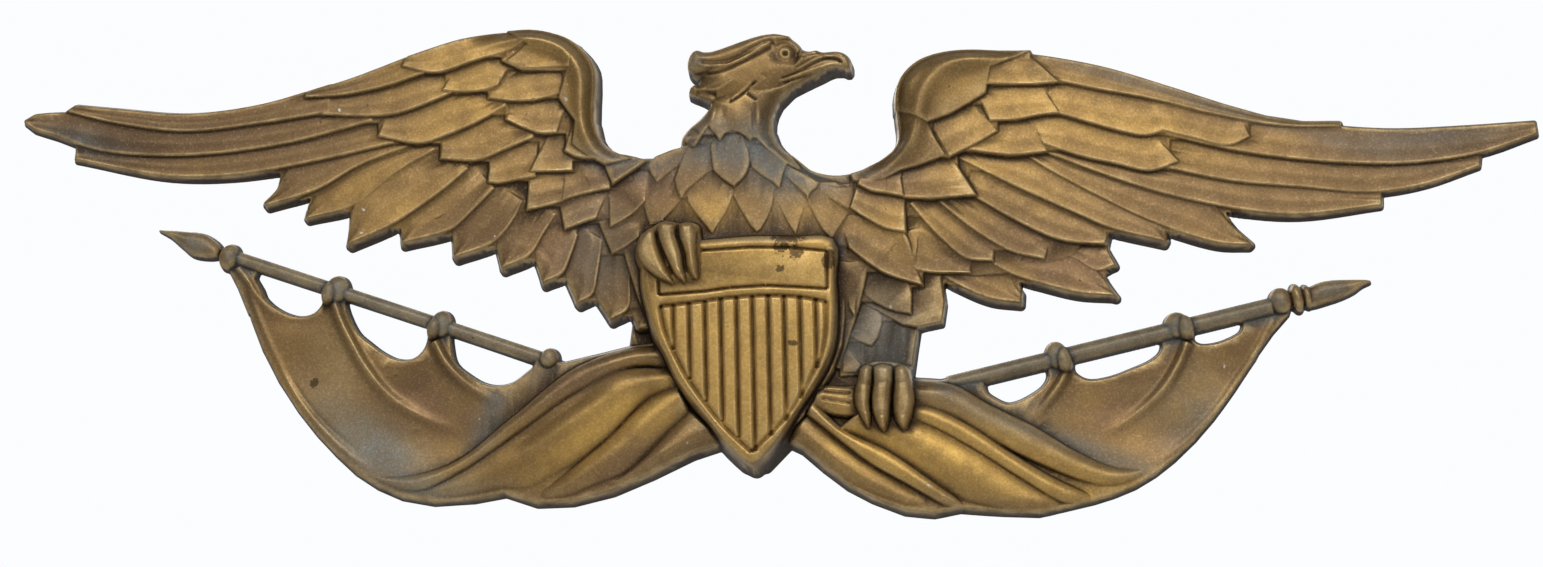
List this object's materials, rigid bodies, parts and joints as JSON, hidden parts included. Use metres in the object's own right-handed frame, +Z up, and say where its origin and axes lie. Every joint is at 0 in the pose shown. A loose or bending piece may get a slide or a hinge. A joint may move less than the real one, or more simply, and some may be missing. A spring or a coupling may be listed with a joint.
{
  "type": "wall plaque",
  "caption": "Spread eagle wall plaque with a striped shield on its breast and draped flags on poles in its claws, cast with a hollow back and pockets for wall pegs.",
  "frame": {"origin": "middle of the flat cast pad behind the breast, on the wall plane", "axes": "+Z up, +X to the viewer's right along the wings, +Y into the wall, so the relief faces -Y"},
  "size_m": [0.7694, 0.036, 0.2512],
  "materials": {
    "antique_gold": "antique gold paint over cast metal, rubbed bright on the high feathers, dark umber in the recesses, grey-green in places"
  },
  "bodies": {
    "root": {"eagle_plaque": "antique_gold"}
  },
  "joints": []
}
